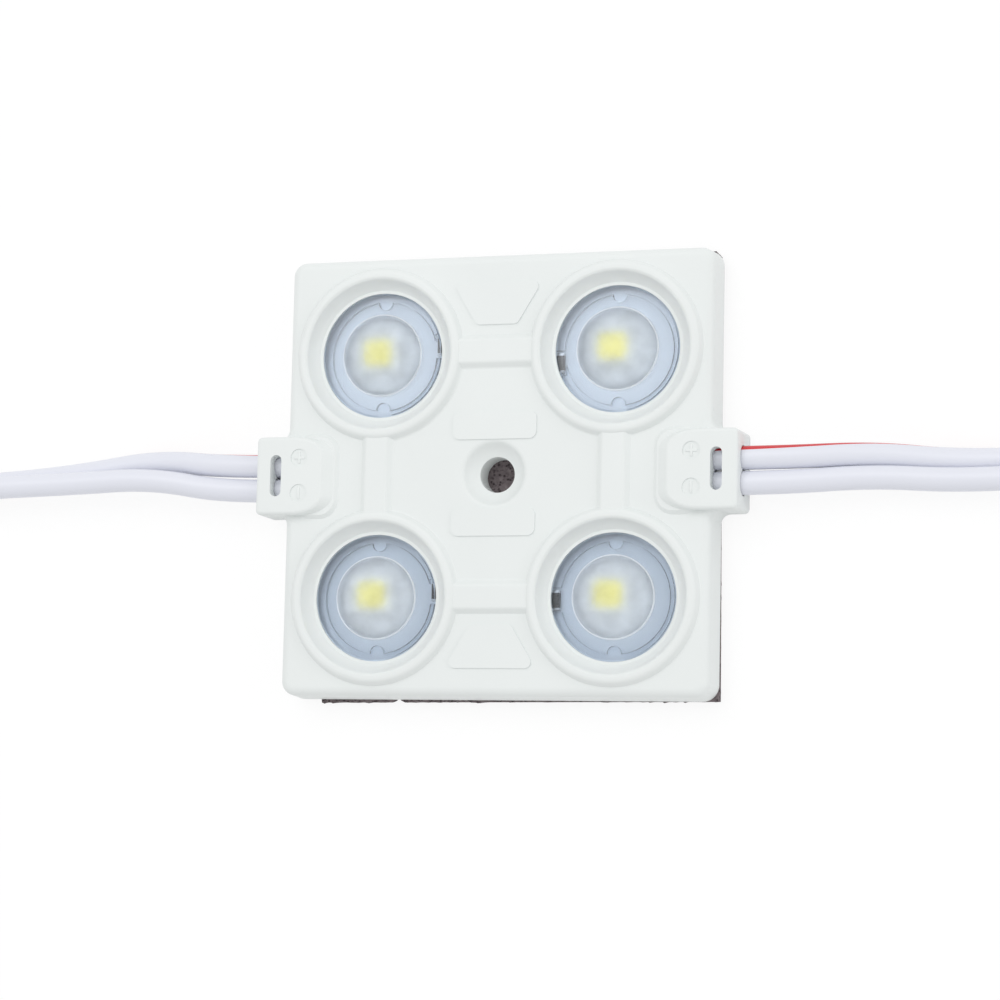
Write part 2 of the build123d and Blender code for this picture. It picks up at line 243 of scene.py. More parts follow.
def moulded_white_abs(colours):
    """Moulded white ABS: satin and faintly cool, with the fine grain of a spark-eroded mould."""
    material, tree = new_material("Moulded white ABS")
    place = add_node(tree, "ShaderNodeTexCoord").outputs["Object"]
    # The real grain is a few hundredths of a millimetre wide and is drawn coarser, so that it shows
    grain = add_node(tree, "ShaderNodeTexNoise", {"Vector": place, "Scale": per(0.2), "Detail": 3})
    flow = add_node(tree, "ShaderNodeTexNoise", {"Vector": place, "Scale": per(6), "Detail": 2})
    tone = add_node(
        tree,
        "ShaderNodeMix",
        {
            "Factor": flow.outputs["Fac"],
            "A": opaque(colours.moulding, 0.975),
            "B": opaque(colours.moulding, 1.02),
        },
        data_type="RGBA",
    )
    gloss = add_node(
        tree, "ShaderNodeMapRange", {"Value": grain.outputs["Fac"], "To Min": 0.42, "To Max": 0.58}
    )
    bump = add_node(
        tree, "ShaderNodeBump", {"Height": grain.outputs["Fac"], "Strength": 0.16, "Distance": 0.02 * MM}
    )
    shader = add_node(
        tree,
        "ShaderNodeBsdfPrincipled",
        {
            "Base Color": tone.outputs["Result"],
            "Roughness": gloss.outputs["Result"],
            "IOR": 1.53,
            "Normal": bump.outputs["Normal"],
        },
    )
    add_node(tree, "ShaderNodeOutputMaterial", {"Surface": shader.outputs["BSDF"]})
    return material


def extruded_pvc(colours, sizes, name, stripe=None):
    """Extruded soft PVC: a waxy sheen with faint drag lines along the core, and a coloured stripe.

    The stripe is given as its place round the core at the clamp and its roll along the core, both in turns.
    The core's own UV map runs along it in X and round it in Y.
    """
    material, tree = new_material(name)
    colour = opaque(colours.jacket)
    if stripe:
        chart = add_node(tree, "ShaderNodeTexCoord").outputs["UV"]
        split = add_node(tree, "ShaderNodeSeparateXYZ", {"Vector": chart})
        half_stripe = sizes.stripe_width / (2 * pi * sizes.core_diameter)
        start, roll = stripe
        half_turn = 0.5
        centre = add_node(
            tree, "ShaderNodeMath", {0: split.outputs["X"], 1: roll, 2: start}, operation="MULTIPLY_ADD"
        )
        apart = add_node(
            tree, "ShaderNodeMath", {0: split.outputs["Y"], 1: centre.outputs[0]}, operation="SUBTRACT"
        )
        apart = add_node(
            tree, "ShaderNodeMath", {0: apart.outputs[0], 1: half_turn}, operation="PINGPONG"
        )
        beside = add_node(
            tree, "ShaderNodeMath", {0: apart.outputs[0], 1: half_stripe}, operation="LESS_THAN"
        )
        mix = add_node(
            tree,
            "ShaderNodeMix",
            {"Factor": beside.outputs[0], "A": opaque(colours.jacket), "B": opaque(colours.stripe)},
            data_type="RGBA",
        )
        colour = mix.outputs["Result"]
    place = add_node(tree, "ShaderNodeTexCoord").outputs["Object"]
    # The lines are 25 times longer than wide, and drawn coarser than real ones, so that they show
    along = add_node(tree, "ShaderNodeMapping", {"Vector": place, "Scale": (0.04, 1, 1)})
    drag = add_node(
        tree, "ShaderNodeTexNoise", {"Vector": along.outputs["Vector"], "Scale": per(0.12), "Detail": 2}
    )
    bump = add_node(
        tree, "ShaderNodeBump", {"Height": drag.outputs["Fac"], "Strength": 0.1, "Distance": 0.02 * MM}
    )
    shader = add_node(
        tree,
        "ShaderNodeBsdfPrincipled",
        {"Base Color": colour, "Roughness": 0.38, "IOR": 1.53, "Normal": bump.outputs["Normal"]},
    )
    add_node(tree, "ShaderNodeOutputMaterial", {"Surface": shader.outputs["BSDF"]})
    return material


def acrylic(name, tint, roughness, ripple, clarity, cloudy=0.0):
    """Moulded acrylic: clear as glass with a faint ripple, and milky or cloudy where etched, or milky to
    paint in a highlight.

    Shadow rays go straight through it, so that the lamps reach what lies under a lens.
    """
    material, tree = new_material(name)
    place = add_node(tree, "ShaderNodeTexCoord").outputs["Object"]
    wave = add_node(tree, "ShaderNodeTexNoise", {"Vector": place, "Scale": per(0.9), "Detail": 1})
    bump = add_node(
        tree, "ShaderNodeBump", {"Height": wave.outputs["Fac"], "Strength": ripple, "Distance": 0.05 * MM}
    )
    colour = opaque(tint)
    if cloudy:
        cloud = add_node(tree, "ShaderNodeTexNoise", {"Vector": place, "Scale": per(1.3), "Detail": 3})
        share = add_node(
            tree, "ShaderNodeMapRange", {"Value": cloud.outputs["Fac"], "From Min": 0.35, "From Max": 0.65}
        )
        tone = add_node(
            tree,
            "ShaderNodeMix",
            {"Factor": share.outputs["Result"], "A": opaque(tint, 1 - cloudy), "B": opaque(tint)},
            data_type="RGBA",
        )
        colour = tone.outputs["Result"]
    glass = add_node(
        tree,
        "ShaderNodeBsdfPrincipled",
        {
            "Base Color": colour,
            "Roughness": roughness,
            "IOR": 1.49,
            "Transmission Weight": clarity,
            "Normal": bump.outputs["Normal"],
        },
    )
    through = add_node(tree, "ShaderNodeBsdfTransparent", {"Color": opaque(tint)})
    ray = add_node(tree, "ShaderNodeLightPath")
    shader = add_node(
        tree,
        "ShaderNodeMixShader",
        {0: ray.outputs["Is Shadow Ray"], 1: glass.outputs["BSDF"], 2: through.outputs["BSDF"]},
    )
    add_node(tree, "ShaderNodeOutputMaterial", {"Surface": shader.outputs["Shader"]})
    return material


def cut_foam(colours):
    """Die-cut foam: matt grey-brown with dark open cells about a quarter of a millimetre wide."""
    material, tree = new_material("Die-cut foam")
    place = add_node(tree, "ShaderNodeTexCoord").outputs["Object"]
    cells = add_node(tree, "ShaderNodeTexVoronoi", {"Vector": place, "Scale": per(0.26)})
    cloud = add_node(tree, "ShaderNodeTexNoise", {"Vector": place, "Scale": per(0.5), "Detail": 3})
    depth = add_node(
        tree, "ShaderNodeMapRange", {"Value": cells.outputs["Distance"], "From Min": 0.15, "From Max": 0.5}
    )
    share = add_node(
        tree, "ShaderNodeMath", {0: depth.outputs["Result"], 1: cloud.outputs["Fac"]}, operation="MULTIPLY"
    )
    tone = add_node(
        tree,
        "ShaderNodeMix",
        {"Factor": share.outputs[0], "A": opaque(colours.cell), "B": opaque(colours.foam)},
        data_type="RGBA",
    )
    bump = add_node(
        tree, "ShaderNodeBump", {"Height": depth.outputs["Result"], "Strength": 0.8, "Distance": 0.08 * MM}
    )
    shader = add_node(
        tree,
        "ShaderNodeBsdfPrincipled",
        {"Base Color": tone.outputs["Result"], "Roughness": 0.92, "Normal": bump.outputs["Normal"]},
    )
    add_node(tree, "ShaderNodeOutputMaterial", {"Surface": shader.outputs["BSDF"]})
    return material


def adhesive_film(colours):
    """Coated adhesive film on the foam: a dull shine, pressed down unevenly over the cells below."""
    material, tree = new_material("Coated adhesive film")
    place = add_node(tree, "ShaderNodeTexCoord").outputs["Object"]
    cells = add_node(tree, "ShaderNodeTexVoronoi", {"Vector": place, "Scale": per(0.45)})
    cloud = add_node(tree, "ShaderNodeTexNoise", {"Vector": place, "Scale": per(2.2), "Detail": 3})
    tone = add_node(
        tree,
        "ShaderNodeMix",
        {"Factor": cloud.outputs["Fac"], "A": opaque(colours.film, 0.82), "B": opaque(colours.film, 1.2)},
        data_type="RGBA",
    )
    gloss = add_node(
        tree, "ShaderNodeMapRange", {"Value": cloud.outputs["Fac"], "To Min": 0.28, "To Max": 0.6}
    )
    bump = add_node(
        tree, "ShaderNodeBump", {"Height": cells.outputs["Distance"], "Strength": 0.5, "Distance": 0.05 * MM}
    )
    shader = add_node(
        tree,
        "ShaderNodeBsdfPrincipled",
        {
            "Base Color": tone.outputs["Result"],
            "Roughness": gloss.outputs["Result"],
            "Normal": bump.outputs["Normal"],
        },
    )
    add_node(tree, "ShaderNodeOutputMaterial", {"Surface": shader.outputs["BSDF"]})
    return material


def white_solder_mask(colours):
    """Screen-printed white solder mask: even and slightly glossy, with a fine orange peel."""
    material, tree = new_material("Screen-printed white solder mask")
    place = add_node(tree, "ShaderNodeTexCoord").outputs["Object"]
    peel = add_node(tree, "ShaderNodeTexNoise", {"Vector": place, "Scale": per(0.35), "Detail": 2})
    tone = add_node(
        tree,
        "ShaderNodeMix",
        {"Factor": peel.outputs["Fac"], "A": opaque(colours.board, 0.96), "B": opaque(colours.board, 1.02)},
        data_type="RGBA",
    )
    bump = add_node(
        tree, "ShaderNodeBump", {"Height": peel.outputs["Fac"], "Strength": 0.15, "Distance": 0.02 * MM}
    )
    shader = add_node(
        tree,
        "ShaderNodeBsdfPrincipled",
        {
            "Base Color": tone.outputs["Result"],
            "Roughness": 0.34,
            "IOR": 1.5,
            "Normal": bump.outputs["Normal"],
        },
    )
    add_node(tree, "ShaderNodeOutputMaterial", {"Surface": shader.outputs["BSDF"]})
    return material


def moulded_package(colours):
    """Moulded white package plastic: bright and matt, with a very fine grain."""
    material, tree = new_material("Moulded white package")
    place = add_node(tree, "ShaderNodeTexCoord").outputs["Object"]
    grain = add_node(tree, "ShaderNodeTexNoise", {"Vector": place, "Scale": per(0.08), "Detail": 2})
    bump = add_node(
        tree, "ShaderNodeBump", {"Height": grain.outputs["Fac"], "Strength": 0.1, "Distance": 0.01 * MM}
    )
    shader = add_node(
        tree,
        "ShaderNodeBsdfPrincipled",
        {"Base Color": opaque(colours.package), "Roughness": 0.45, "Normal": bump.outputs["Normal"]},
    )
    add_node(tree, "ShaderNodeOutputMaterial", {"Surface": shader.outputs["BSDF"]})
    return material


def cast_phosphor(colours):
    """Cast silicone with phosphor powder: lemon yellow, finely speckled, with a weak painted glow of its
    own.
    """
    material, tree = new_material("Cast silicone with phosphor")
    place = add_node(tree, "ShaderNodeTexCoord").outputs["Object"]
    # The real powder is about 0.015 mm fine and is drawn coarser, so that it shows
    powder = add_node(tree, "ShaderNodeTexNoise", {"Vector": place, "Scale": per(0.1), "Detail": 3})
    tone = add_node(
        tree,
        "ShaderNodeMix",
        {
            "Factor": powder.outputs["Fac"],
            "A": opaque(colours.phosphor, 0.92),
            "B": opaque(colours.phosphor, 1.05),
        },
        data_type="RGBA",
    )
    shader = add_node(
        tree,
        "ShaderNodeBsdfPrincipled",
        {
            "Base Color": tone.outputs["Result"],
            "Roughness": 0.4,
            # Painted glow: the phosphor gives off a little yellow light of its own, though no lamp is lit in
            # it
            "Emission Color": opaque(colours.phosphor),
            "Emission Strength": 0.16,
        },
    )
    add_node(tree, "ShaderNodeOutputMaterial", {"Surface": shader.outputs["BSDF"]})
    return material


def glazed_chip(colours):
    """Glazed resistor body: black and glassy over fired ceramic, with small pits."""
    material, tree = new_material("Glazed resistor ceramic")
    place = add_node(tree, "ShaderNodeTexCoord").outputs["Object"]
    pits = add_node(tree, "ShaderNodeTexNoise", {"Vector": place, "Scale": per(0.06), "Detail": 2})
    bump = add_node(
        tree, "ShaderNodeBump", {"Height": pits.outputs["Fac"], "Strength": 0.2, "Distance": 0.01 * MM}
    )
    shader = add_node(
        tree,
        "ShaderNodeBsdfPrincipled",
        {"Base Color": opaque(colours.chip), "Roughness": 0.3, "Normal": bump.outputs["Normal"]},
    )
    add_node(tree, "ShaderNodeOutputMaterial", {"Surface": shader.outputs["BSDF"]})
    return material


def metal(name, colour, rough_low, rough_high, grain):
    """Bare metal whose brightness and shine vary with a grain of the given size in millimetres."""
    material, tree = new_material(name)
    place = add_node(tree, "ShaderNodeTexCoord").outputs["Object"]
    skin = add_node(tree, "ShaderNodeTexNoise", {"Vector": place, "Scale": per(grain), "Detail": 3})
    tone = add_node(
        tree,
        "ShaderNodeMix",
        {"Factor": skin.outputs["Fac"], "A": opaque(colour, 0.8), "B": opaque(colour, 1.1)},
        data_type="RGBA",
    )
    gloss = add_node(
        tree, "ShaderNodeMapRange", {"Value": skin.outputs["Fac"], "To Min": rough_low, "To Max": rough_high}
    )
    shader = add_node(
        tree,
        "ShaderNodeBsdfPrincipled",
        {"Base Color": tone.outputs["Result"], "Metallic": 1.0, "Roughness": gloss.outputs["Result"]},
    )
    add_node(tree, "ShaderNodeOutputMaterial", {"Surface": shader.outputs["BSDF"]})
    return material


def in_view(tree):
    """Socket that gives 1 for a ray from the camera, off gloss or through glass, and 0 for any other."""
    ray = add_node(tree, "ShaderNodeLightPath")
    seen = ray.outputs["Is Camera Ray"]
    for kind in ("Is Glossy Ray", "Is Transmission Ray"):
        either = add_node(tree, "ShaderNodeMath", {0: seen, 1: ray.outputs[kind]}, operation="MAXIMUM")
        seen = either.outputs[0]
    return seen


def pale_floor(colours):
    """Matt paper floor: white where the camera, gloss or glass sees it, with the object's shadow on it."""
    white_share, white_strength = 0.85, 1.03
    material, tree = new_material("Matt white paper")
    share = add_node(tree, "ShaderNodeMath", {0: in_view(tree), 1: white_share}, operation="MULTIPLY")
    paper = add_node(tree, "ShaderNodeBsdfDiffuse", {"Color": opaque(colours.floor)})
    glow = add_node(tree, "ShaderNodeEmission", {"Color": (1, 1, 1, 1), "Strength": white_strength})
    shader = add_node(
        tree,
        "ShaderNodeMixShader",
        {0: share.outputs[0], 1: paper.outputs["BSDF"], 2: glow.outputs["Emission"]},
    )
    add_node(tree, "ShaderNodeOutputMaterial", {"Surface": shader.outputs["Shader"]})
    return material


def start_edit(mode="FACE"):
    """Goes into edit mode on the active object with nothing selected."""
    bpy.ops.object.mode_set(mode="EDIT")
    bpy.ops.mesh.select_mode(type=mode)
    bpy.ops.mesh.select_all(action="DESELECT")


def select_alone(obj):
    """Makes one object the active and only selected one."""
    bpy.ops.object.select_all(action="DESELECT")
    obj.select_set(True)
    bpy.context.view_layer.objects.active = obj


def select_faces(obj, test):
    """Selects the faces of the object in edit mode whose centre and normal pass the test."""
    bpy.ops.object.mode_set(mode="OBJECT")
    for face in obj.data.polygons:
        face.select = test(face.center, face.normal)
    bpy.ops.object.mode_set(mode="EDIT")


def bake_place(obj):
    """Puts the object's place, turn and size into its mesh."""
    select_alone(obj)
    bpy.ops.object.transform_apply(location=True, rotation=True, scale=True)


def copy_of(model, name, offset):
    """Copy of a finished piece with a mesh of its own, moved by an offset."""
    select_alone(model)
    bpy.ops.object.duplicate()
    copy = bpy.context.object
    copy.name = name
    copy.data.name = name
    copy.location = offset
    bake_place(copy)
    return copy


def combine(piece, tool, operation):
    """Joins a second mesh to the piece or cuts it away, and deletes the second mesh."""
    select_alone(piece)
    modifier = piece.modifiers.new("combine", "BOOLEAN")
    modifier.operation = operation
    modifier.object = tool
    bpy.ops.object.modifier_apply(modifier=modifier.name)
    bpy.data.objects.remove(tool)


def place_piece(piece, slot, *nodes):
    """Fixes a piece to the body and hides the solids that it stands for. The slot is not used."""
    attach(piece, BODY)
    if nodes:
        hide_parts(*nodes)


class LEDMODULE_OT_stage(Operator):
    """Camera at the photograph's angle, pale floor and soft light from the upper left and the right"""

    bl_idname = "ledmodule.stage"
    bl_label = "Stage"

    # Camera: angles and distance from the module, shift of the frame, lens, film width and range
    turn, dip, roll = radians(17.44), radians(6.72), radians(1.28)
    distance, slide, lift = 234.7 * MM, 0.4 * MM, 1.78 * MM
    focal_length = 104.3
    sensor_width = 36
    nearest, farthest = 1 * MM, 10

    # Light: strength of the surroundings, distance and width of the lamps, then their directions and watts
    sky_strength = 0.76
    lamp_distance = 0.5
    lamp_size = 0.35
    lamps = (("soft_lamp", Vector((-0.28, 0.5, 1.0)), 0.56), ("fill_lamp", Vector((1.0, 0.25, 0.5)), 0.32))

    floor_size = 4

    def execute(self, context):
        scene = context.scene
        scene.view_settings.view_transform = "Standard"
        self.add_camera(scene)
        self.add_light(scene)
        bpy.ops.mesh.primitive_plane_add(size=self.floor_size, location=(0, 0, 0))
        floor = context.object
        floor.name = "floor"
        dress(floor, pale_floor(scene.led_colours))
        return {"FINISHED"}

    def add_camera(self, scene):
        """Camera off to the right and below, rolled a little, as the photograph was taken."""
        back = Vector((sin(self.turn) * cos(self.dip), -sin(self.dip), cos(self.turn) * cos(self.dip)))
        level = Vector((0, 1, 0)).cross(back).normalized()
        upright = back.cross(level)
        right = level * cos(self.roll) + upright * sin(self.roll)
        up = upright * cos(self.roll) - level * sin(self.roll)
        place = back * self.distance - right * self.slide - up * self.lift + Vector((0, 0, HOUSING_FOOT))
        turned = Matrix((right, up, back)).transposed().to_euler()
        bpy.ops.object.camera_add(location=place, rotation=turned)
        scene.camera = bpy.context.object
        scene.camera.name = "camera"
        scene.camera.data.lens = self.focal_length
        scene.camera.data.sensor_width = self.sensor_width
        scene.camera.data.clip_start = self.nearest
        scene.camera.data.clip_end = self.farthest

    def add_light(self, scene):
        """White surroundings, a large soft lamp high on the upper left and a low one on the right."""
        world = bpy.data.worlds.new("surroundings")
        world.use_nodes = True
        scene.world = world
        tree = world.node_tree
        tree.nodes.clear()
        strength = add_node(
            tree, "ShaderNodeMapRange", {"Value": in_view(tree), "To Min": self.sky_strength, "To Max": 1.0}
        )
        sky = add_node(
            tree, "ShaderNodeBackground", {"Color": (1, 1, 1, 1), "Strength": strength.outputs["Result"]}
        )
        add_node(tree, "ShaderNodeOutputWorld", {"Surface": sky.outputs["Background"]})
        for name, direction, energy in self.lamps:
            place = direction.normalized() * self.lamp_distance
            aim = (-place).to_track_quat("-Z", "Y").to_euler()
            bpy.ops.object.light_add(type="AREA", location=place, rotation=aim)
            lamp = bpy.context.object
            lamp.name = name
            lamp.data.shape = "DISK"
            lamp.data.size = self.lamp_size
            lamp.data.energy = energy


class LEDMODULE_OT_leads(Operator):
    """Twin lead cores laid along their routes, with the copper strands at their cut ends"""

    bl_idname = "ledmodule.leads"
    bl_label = "Leads"

    # Place of each stripe round its core at the clamp and its roll along the core, both in turns
    stripes = {"left": (0.41, 0.7), "right": (0.055, -0.33)}

    # Smoothness of the jackets: order of the line, steps between its points, and steps round it
    line_order, line_steps, ring_steps = 3, 16, 10

    # Strands: sides, length, and the share of their reach that they take without the burr
    strand_sides = 12
    strand_depth = 1.0 * MM
    square_reach = 0.8

    # The burr is set in by an eighth of a strand's diameter and stands out by a twelfth
    burr_inset_part, burr_rise_part = 8, 12

    smooth_angle = radians(35)

    def execute(self, context):
        sizes = context.scene.led_sizes
        colours = context.scene.led_colours
        plain = extruded_pvc(colours, sizes, "Extruded white PVC")
        jackets = {core: plain for core in CORES}
        for side, stripe in self.stripes.items():
            jackets[side + "_positive"] = extruded_pvc(colours, sizes, "Striped white PVC " + side, stripe)
        bundle = self.strand_bundle(sizes)
        dress(bundle, metal("Drawn copper strand", colours.copper, 0.22, 0.4, 0.05))
        for core in CORES:
            side, polarity = core.split("_")
            out = SIDES[side]
            points = self.route(core, out, POLARITIES[polarity])
            heading = (points[-1] - points[-2]).normalized()
            points[-1] -= heading * sizes.strand_reach
            jacket = self.jacket(context, core, points, sizes.core_diameter)
            dress(jacket, jackets[core])
            place_piece(jacket, "lead_jacket", "lead_core_" + core)
            strands = self.strands(sizes, bundle, core, points[-1], heading)
            place_piece(strands, "conductor")
        bpy.data.objects.remove(bundle)
        return {"FINISHED"}

    def route(self, core, out, across):
        """Points of a core's route, from inside the clamp to the cut end."""
        start = Vector(JACKET_START) * MM
        points = [Vector((out * start.x, across * start.y, start.z))]
        points += [Vector((out * (CLAMP_END + x * MM), y * MM, z * MM)) for x, y, z in ROUTES[core]]
        return points

    def jacket(self, context, core, points, diameter):
        """Round jacket along a smooth line through the route."""
        curve = bpy.data.curves.new("jacket_" + core, "CURVE")
        curve.dimensions = "3D"
        spline = curve.splines.new("NURBS")
        spline.points.add(len(points) - 1)
        for knot, point in zip(spline.points, points):
            knot.co = (*point, 1)
        spline.order_u = self.line_order
        spline.use_endpoint_u = True
        spline.resolution_u = self.line_steps
        curve.bevel_depth = diameter / 2
        curve.bevel_resolution = self.ring_steps
        curve.use_fill_caps = True
        piece = bpy.data.objects.new("jacket_" + core, curve)
        context.collection.objects.link(piece)
        return piece

    def strand_bundle(self, sizes):
        """Seven strands side by side, cut square on the origin's level, with a slight burr."""
        diameter = sizes.strand_diameter
        strands = []
        places = [(0, 0)] + [(cos(turn * pi / 3), sin(turn * pi / 3)) for turn in range(6)]
        for x, y in places:
            bpy.ops.mesh.primitive_cylinder_add(
                vertices=self.strand_sides,
                radius=diameter / 2,
                depth=self.strand_depth,
                location=(x * diameter, y * diameter, -self.strand_depth / 2),
            )
            strand = bpy.context.object
            bake_place(strand)
            start_edit()
            select_faces(strand, lambda centre, normal: normal.z > FACING)
            bpy.ops.mesh.inset(thickness=diameter / self.burr_inset_part)
            bpy.ops.transform.translate(value=(0, 0, diameter / self.burr_rise_part))
            bpy.ops.object.mode_set(mode="OBJECT")
            strands.append(strand)
        bpy.ops.object.select_all(action="DESELECT")
        for strand in strands:
            strand.select_set(True)
        bpy.context.view_layer.objects.active = strands[0]
        bpy.ops.object.join()
        bpy.ops.object.shade_smooth_by_angle(angle=self.smooth_angle)
        return strands[0]

    def strands(self, sizes, bundle, core, end, heading):
        """Copy of the bundle at a core's cut end, its tips a little out of the jacket."""
        select_alone(bundle)
        bpy.ops.object.duplicate()
        copy = bpy.context.object
        copy.name = "strands_" + core
        copy.rotation_euler = heading.to_track_quat("Z", "Y").to_euler()
        copy.location = end + heading * sizes.strand_reach * self.square_reach
        bake_place(copy)
        return copy


class LEDMODULE_OT_housing(Operator):
    """Finish of the moulding, with the plus and minus marks in the recesses of the clamps"""

    bl_idname = "ledmodule.housing"
    bl_label = "Housing"

    # The bars go a tenth of the recess's depth into its floor, and a third of their rise is rounded off
    sink_part, round_part = 10, 3
    smooth_angle = radians(40)

    def execute(self, context):
        sizes = context.scene.led_sizes
        moulding = moulded_white_abs(context.scene.led_colours)
        dress(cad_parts["housing"], moulding)
        for side, out in SIDES.items():
            for polarity, across in POLARITIES.items():
                place = Vector(
                    (out * (CLAMP_END - MARK_INSET), across * MARK_PITCH / 2, CLAMP_TOP - MARK_DEPTH)
                )
                mark = self.mark(sizes, place, crossed=polarity == "positive")
                mark.name = f"mark_{side}_{polarity}"
                dress(mark, moulding)
                place_piece(mark, "housing")
        return {"FINISHED"}

    def mark(self, sizes, place, crossed):
        """Raised bar across the leads, or two crossed bars, with rounded edges."""
        height = sizes.mark_rise + MARK_DEPTH / self.sink_part
        bpy.ops.object.select_all(action="DESELECT")
        bpy.ops.mesh.primitive_cube_add(
            size=1,
            location=place + Vector((0, 0, sizes.mark_rise - height / 2)),
            scale=(sizes.mark_width, sizes.mark_width, height),
        )
        mark = bpy.context.object
        bake_place(mark)
        start_edit()
        select_faces(
            mark,
            lambda centre, normal: abs(normal.y) > FACING or (crossed and abs(normal.x) > FACING),
        )
        bpy.ops.mesh.extrude_faces_move(
            TRANSFORM_OT_shrink_fatten={"value": (sizes.mark_length - sizes.mark_width) / 2}
        )
        bpy.ops.mesh.select_all(action="SELECT")
        bpy.ops.mesh.bevel(offset=sizes.mark_rise / self.round_part, segments=2)
        bpy.ops.object.mode_set(mode="OBJECT")
        bpy.ops.object.shade_smooth_by_angle(angle=self.smooth_angle)
        return mark


class LEDMODULE_OT_lenses(Operator):
    """Clear lenses with a flange, a dome, a frosted hollow, two lugs and room for a chip resistor"""

    bl_idname = "ledmodule.lenses"
    bl_label = "Lenses"

    segments = 96
    vault_steps = 16
    lug_sides = 32
    smooth_angle = radians(35)

    # Factor on the skirt's inner radius, up to which a face still counts as its wall
    slack = 1.001

    def execute(self, context):
        sizes = context.scene.led_sizes
        colours = context.scene.led_colours
        clear = acrylic("Clear moulded acrylic", colours.lens, 0.03, 0.05, clarity=0.98)
        frosted = acrylic("Etched moulded acrylic", colours.frost, 0.68, 0.1, clarity=0.9, cloudy=0.15)
        # Painted highlight: the bead round the foot of each dome is made milky white, so that it shows as a
        # bright ring of light
        milky = acrylic("Milky acrylic of the painted highlight ring", colours.frost, 0.5, 0.1, clarity=0.5)
        model = self.turned_body(sizes)
        self.add_lugs(model, sizes)
        for corner in CORNERS:
            low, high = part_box("lens_" + corner)
            centre = (low + high) / 2
            lens = copy_of(model, "clear_lens_" + corner, centre - LENS_CENTRE)
            self.cut_relief(lens, corner, sizes)
            dress(lens, clear, frosted, milky)
            for face in lens.data.polygons:
                face.material_index = self.finish_of(face, centre, sizes)
            select_alone(lens)
            bpy.ops.object.shade_smooth_by_angle(angle=self.smooth_angle)
            place_piece(lens, "lens", "lens_" + corner)
        bpy.data.objects.remove(model)
        return {"FINISHED"}

    def finish_of(self, face, centre, sizes):
        """Slot of a face: 2 for the bead (painted highlight ring), 1 for the etched dome, hollow and skirt
        wall, else 0.
        """
        radius = (face.center.xy - centre.xy).length
        if face.normal.z > 0 and sizes.dome_radius - sizes.bead_width < radius < sizes.dome_radius:
            return 2
        hollow = face.normal.z < UPRIGHT and radius < sizes.cavity_radius + sizes.cavity_flare
        dome = face.normal.z > 0 and radius < sizes.dome_radius
        skirt_wall = abs(face.normal.z) < UPRIGHT and radius < sizes.skirt_inner_radius * self.slack
        return int(dome or hollow or skirt_wall)

    def rings(self, sizes):
        """Radius and level of each ring, from the top of the dome round the skirt to that of the hollow."""
        top, foot = sizes.aperture_level, BOARD_TOP + sizes.board_gap
        rise = DOME_TOP - top
        inner = sizes.dome_radius - sizes.bead_width
        crown = sizes.dome_radius - sizes.bead_width / 3
        shoulder = sizes.flange_under + sizes.cavity_wall
        turns = [radians(90 * step / self.vault_steps) for step in range(1, self.vault_steps)]
        dome = [(inner * sin(turn), top + rise * cos(turn)) for turn in turns]
        vault = [
            (sizes.cavity_radius * cos(turn), shoulder + sizes.cavity_rise * sin(turn)) for turn in turns
        ]
        return [
            *dome,
            (inner, top + sizes.bead_height),
            (crown, top + sizes.bead_height),
            (sizes.dome_radius, top),
            (sizes.aperture_radius - sizes.edge_bevel, top),
            (sizes.aperture_radius, top - sizes.edge_bevel),
            (sizes.aperture_radius, sizes.lip_under - sizes.lens_gap),
            (LENS_RADIUS, sizes.lip_under - sizes.lens_gap),
            (LENS_RADIUS, foot),
            (sizes.skirt_inner_radius, foot),
            (sizes.skirt_inner_radius, sizes.flange_under),
            (sizes.cavity_radius + sizes.cavity_flare, sizes.flange_under),
            (sizes.cavity_radius, shoulder),
            *vault,
        ]

    def turned_body(self, sizes):
        """Body of revolution, drawn ring by ring from the top of the dome and closed inside the hollow."""
        rings = self.rings(sizes)
        first_radius, first_level = rings[0]
        bpy.ops.object.select_all(action="DESELECT")
        bpy.ops.mesh.primitive_circle_add(
            vertices=self.segments,
            radius=first_radius,
            fill_type="TRIFAN",
            location=(LENS_CENTRE.x, LENS_CENTRE.y, first_level),
        )
        body = bpy.context.object
        start_edit("EDGE")
        bpy.ops.mesh.select_non_manifold()
        for (radius, level), (next_radius, next_level) in zip(rings, rings[1:]):
            bpy.ops.mesh.extrude_edges_move(TRANSFORM_OT_translate={"value": (0, 0, next_level - level)})
            share = next_radius / radius
            bpy.ops.transform.resize(
                value=(share, share, 1), center_override=(LENS_CENTRE.x, LENS_CENTRE.y, next_level)
            )
        bpy.ops.mesh.merge(type="CENTER")
        bpy.ops.mesh.select_all(action="SELECT")
        bpy.ops.mesh.normals_make_consistent(inside=False)
        bpy.ops.object.mode_set(mode="OBJECT")
        bake_place(body)
        return body

    def add_lugs(self, body, sizes):
        """Two round lugs under the flange, half sunk in the skirt."""
        foot = BOARD_TOP + sizes.board_gap
        top = sizes.flange_under + sizes.lens_gap
        for across in (-1, 1):
            bpy.ops.mesh.primitive_cylinder_add(
                vertices=self.lug_sides,
                radius=sizes.lug_diameter / 2,
                depth=top - foot,
                location=(LENS_CENTRE.x, LENS_CENTRE.y + across * sizes.lug_offset, (top + foot) / 2),
            )
            combine(body, bpy.context.object, "UNION")

    def cut_relief(self, lens, corner, sizes):
        """Room in the skirt over the chip resistor."""
        low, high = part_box("chip_resistor_" + corner)
        size = high - low + Vector((1, 1, 0)) * 2 * sizes.relief_gap
        top = sizes.flange_under
        size.z = 2 * (top - low.z)
        bpy.ops.mesh.primitive_cube_add(
            size=1, location=((low.x + high.x) / 2, (low.y + high.y) / 2, top - size.z / 2), scale=size
        )
        tool = bpy.context.object
        bake_place(tool)
        combine(lens, tool, "DIFFERENCE")


